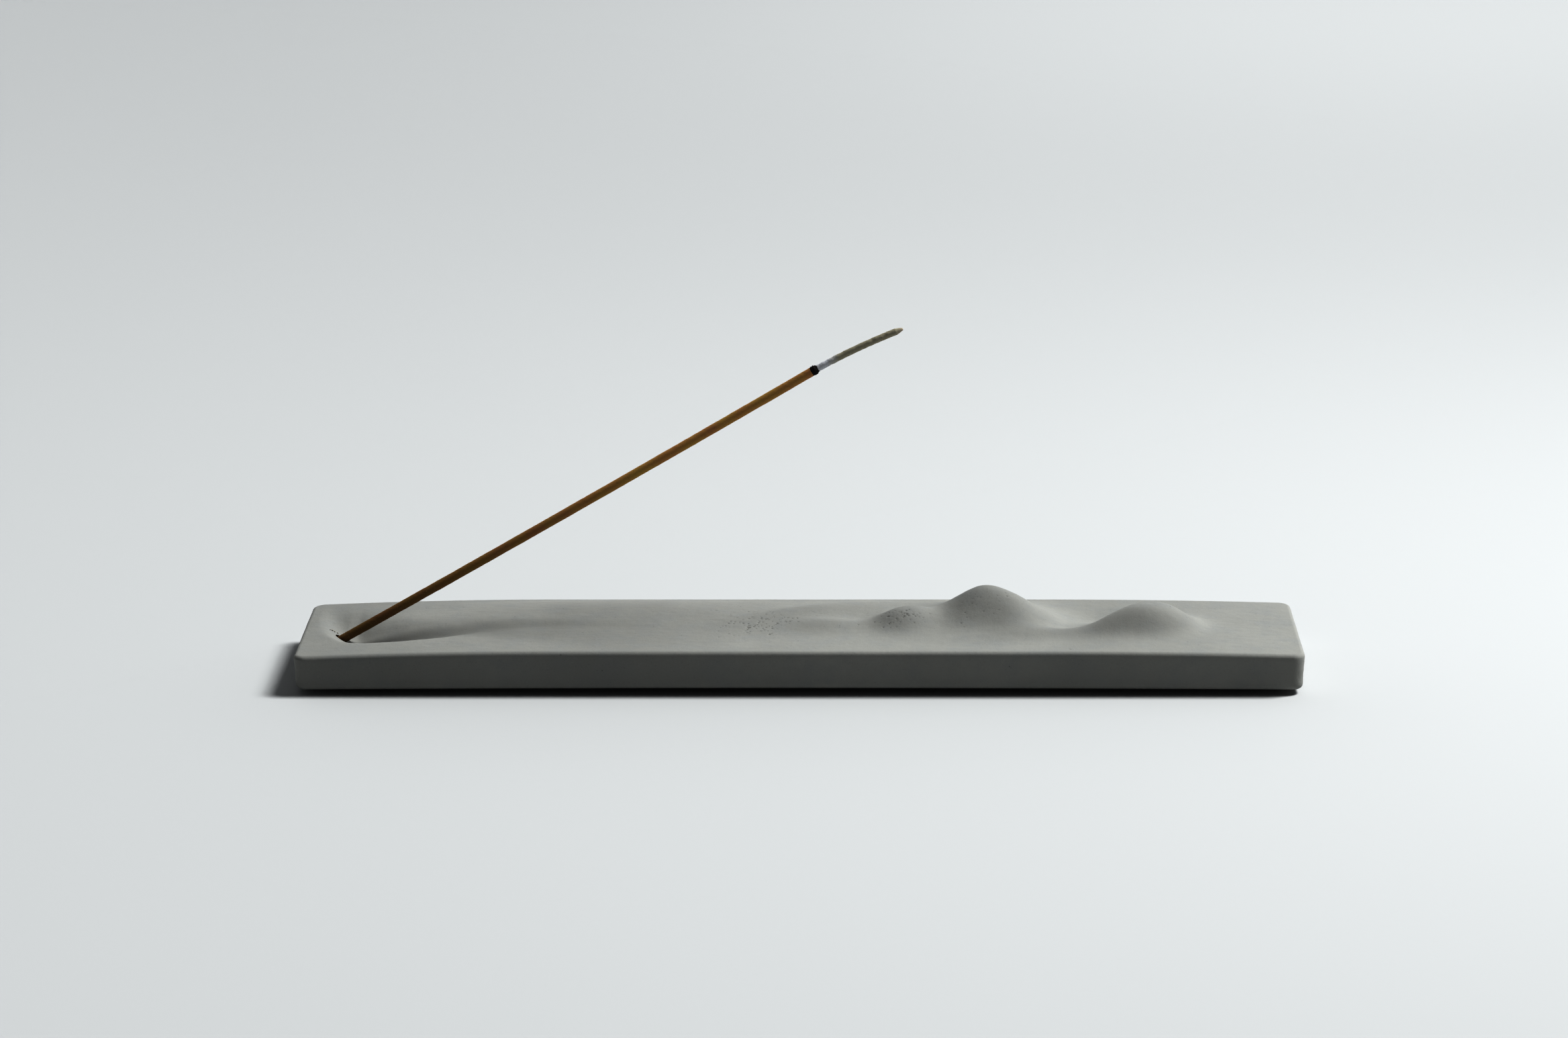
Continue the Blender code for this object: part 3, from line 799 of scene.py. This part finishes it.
def rod_mesh(name, path, radius_at, sides):
    """A closed rod along a path; radius_at(share along, turn) gives its uneven radius."""
    points, leans = path
    verts = []
    for ring, ((up, along), lean) in enumerate(zip(points, leans)):
        for i in range(sides):
            turn = 2 * math.pi * i / sides
            radius = radius_at(ring / (len(points) - 1), turn)
            lift = radius * math.cos(turn)
            x = -(up + lift * math.cos(lean))
            verts.append((x, radius * math.sin(turn), along - lift * math.sin(lean)))
    made = mesh_object(name, verts, tube_faces(len(points), sides))
    tilt = Matrix.Rotation(math.radians(90.0 - STICK_ANGLE), 4, "Y")
    made.data.transform(Matrix.Translation(bore_end()) @ tilt)
    bm = bmesh.new()
    bm.from_mesh(made.data)
    bmesh.ops.recalc_face_normals(bm, faces=bm.faces)
    bm.to_mesh(made.data)
    bm.free()
    made.data.shade_smooth()
    made.data.set_sharp_from_angle(angle=math.radians(ROD_SHARP_ANGLE))
    return made


def around(seed, along_waves, turns, count=10):
    """A smooth uneven field over a rod's share along and its turn, about -1 to 1."""
    rng = np.random.default_rng(seed)
    parts = [
        (rng.uniform(*along_waves), int(rng.integers(0, turns + 1)), rng.uniform(0, 2 * math.pi))
        for _ in range(count)
    ]

    def field(share, turn):
        total = sum(math.sin(2 * math.pi * w * share + k * turn + p) for w, k, p in parts)
        return total / math.sqrt(count)

    return field


def step_past(point, lean, distance):
    up, along = point
    return up + math.sin(lean) * distance, along + math.cos(lean) * distance


def finish_rod(rod, material, node):
    rod.data.materials.append(material)
    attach(rod, "stick")
    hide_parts(node)


def make_stick_assembly():
    held_length = bore_length() - SEAT_GAP
    held = arc_path((0.0, SEAT_GAP), 0.0, 0.0, held_length, HELD_STEPS)
    free = arc_path(held[0][-1], 0.0, STICK_BEND, STICK_EXPOSED_LENGTH, FREE_STEPS)
    path = (held[0] + free[0][1:], held[1] + free[1][1:])
    slow = around(SEED + 10, (6, 22), 1)
    rough = around(SEED + 11, (40, 130), 5, 16)

    def stick_radius(share, turn):
        return STICK_RADIUS * (0.985 + 0.012 * slow(share, turn) + 0.011 * rough(share, turn))

    stick = rod_mesh("incense_rod", path, stick_radius, STICK_SIDES)
    finish_rod(stick, incense_material(), "incense_stick")

    lean = path[1][-1]
    top = path[0][-1]
    char = arc_path(top, STICK_BEND, STICK_BEND, CHAR_LENGTH + 2 * SEAT_GAP, CHAR_STEPS)
    flakes = around(SEED + 12, (1, 4), 6, 16)

    def char_radius(share, turn):
        bulge = math.sin(math.pi * min(1.0, share * 1.15))
        ends = STICK_RADIUS + (ASH_RADIUS - STICK_RADIUS) * smooth_step((share - 0.45) / 0.55)
        return ends * (0.97 + 0.10 * bulge + 0.05 * flakes(share, turn))

    ring = rod_mesh("char_ring", char, char_radius, STICK_SIDES)
    finish_rod(ring, char_material(), "char_band")

    ash_start = step_past(char[0][-1], lean, -ASH_OVERLAP)
    ash_lean = STICK_BEND - ASH_BREAK
    ash = arc_path(ash_start, ash_lean, ash_lean - ASH_DROOP, ASH_LENGTH + ASH_OVERLAP, ASH_STEPS)
    lumps = around(SEED + 13, (5, 18), 3)
    crumbs = around(SEED + 14, (30, 80), 6, 18)

    def ash_radius(share, turn):
        tip = (1.0 - share) * ASH_LENGTH / ASH_TIP_LENGTH
        taper = ASH_TIP_SHARE + (1.0 - ASH_TIP_SHARE) * min(1.0, max(tip, 0.0)) ** 0.75
        return ASH_RADIUS * taper * (0.97 + 0.030 * lumps(share, turn) + 0.018 * crumbs(share, turn))

    column = rod_mesh("ash_rod", ash, ash_radius, ASH_SIDES)
    low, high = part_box("ash_column")
    finish_rod(column, ash_material(low, high), "ash_column")


# ---------------------------------------------------------------- ash crumbs by the bore, and the feet
CRUMB_COUNT = 9
FOOT_SIDES = 64
FOOT_EDGE_STEPS = 6
FOOT_EDGE_RADIUS = 0.0003
FOOT_DISH = 0.00012
FOOT_SHARP_ANGLE = 40.0


def make_crumbs():
    """A few pale specks of fallen ash just behind the stick's foot."""
    rng = np.random.default_rng(SEED + 20)
    bm = bmesh.new()
    mouth_x = bore_end().x + bore_direction().x * bore_length()
    for _ in range(CRUMB_COUNT):
        x = mouth_x + rng.normal(-0.0022, 0.0007)
        y = rng.uniform(0.0020, 0.0030)
        size = rng.uniform(0.00010, 0.00020)
        floor_z = float(top_height(np.array([x]), np.array([y]))[0])
        place = Matrix.Translation((x, y, floor_z + size * 0.4))
        squeeze = Matrix.Diagonal((*(size * rng.uniform(0.7, 1.3, 2)), size * 0.7, 1.0))
        made = bmesh.ops.create_icosphere(bm, subdivisions=2, radius=1.0, matrix=place @ squeeze)
        for vert in made["verts"]:
            vert.co += Vector(rng.normal(0, size * 0.10, 3))
    mesh = bpy.data.meshes.new("ash_crumbs")
    bm.to_mesh(mesh)
    bm.free()
    mesh.shade_smooth()
    crumbs = bpy.data.objects.new("ash_crumbs", mesh)
    bpy.context.scene.collection.objects.link(crumbs)
    n = Nodes("fallen_ash", (0.42, 0.40, 0.36), 0.95)
    powder = n.noise(3000.0, 3.0)
    n.colour(n.mix(powder, (0.30, 0.29, 0.26), (0.52, 0.50, 0.45)))
    n.bump(powder, 0.00004, 1.0)
    mesh.materials.append(n.material)
    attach(crumbs, "base")


def make_feet():
    """Rubber bumpers: a turned disc with a rounded edge and a shallow dish underneath."""
    rubber = rubber_material()
    for node in ("foot_front_left", "foot_front_right", "foot_rear_left", "foot_rear_right"):
        low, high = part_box(node)
        radius = (high.y - low.y) / 2
        height = high.z - low.z
        profile = [(radius * 0.55, FOOT_DISH), (radius * 0.70, 0.00002)]
        for i in range(FOOT_EDGE_STEPS + 1):
            angle = math.pi / 2 * i / FOOT_EDGE_STEPS
            inset = FOOT_EDGE_RADIUS * (1 - math.sin(angle))
            profile.append((radius - inset, FOOT_EDGE_RADIUS * (1 - math.cos(angle))))
        profile += [(radius * 0.99, height * 0.8), (radius * 0.97, height)]
        centre = (low + high) / 2
        verts = []
        for r, z in profile:
            for i in range(FOOT_SIDES):
                turn = 2 * math.pi * i / FOOT_SIDES
                verts.append((centre.x + r * math.cos(turn), centre.y + r * math.sin(turn), low.z + z))
        faces = tube_faces(len(profile), FOOT_SIDES)
        foot = mesh_object(node.replace("foot", "rubber_foot"), verts, faces)
        foot.data.set_sharp_from_angle(angle=math.radians(FOOT_SHARP_ANGLE))
        foot.data.materials.append(rubber)
        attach(foot, "base")
        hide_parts(node)


make_camera()
make_lights()
make_world()
make_floor()
make_slab()
make_stick_assembly()
make_crumbs()
make_feet()
bpy.context.scene.view_settings.view_transform = "Standard"
bpy.context.scene.view_settings.gamma = 0.57
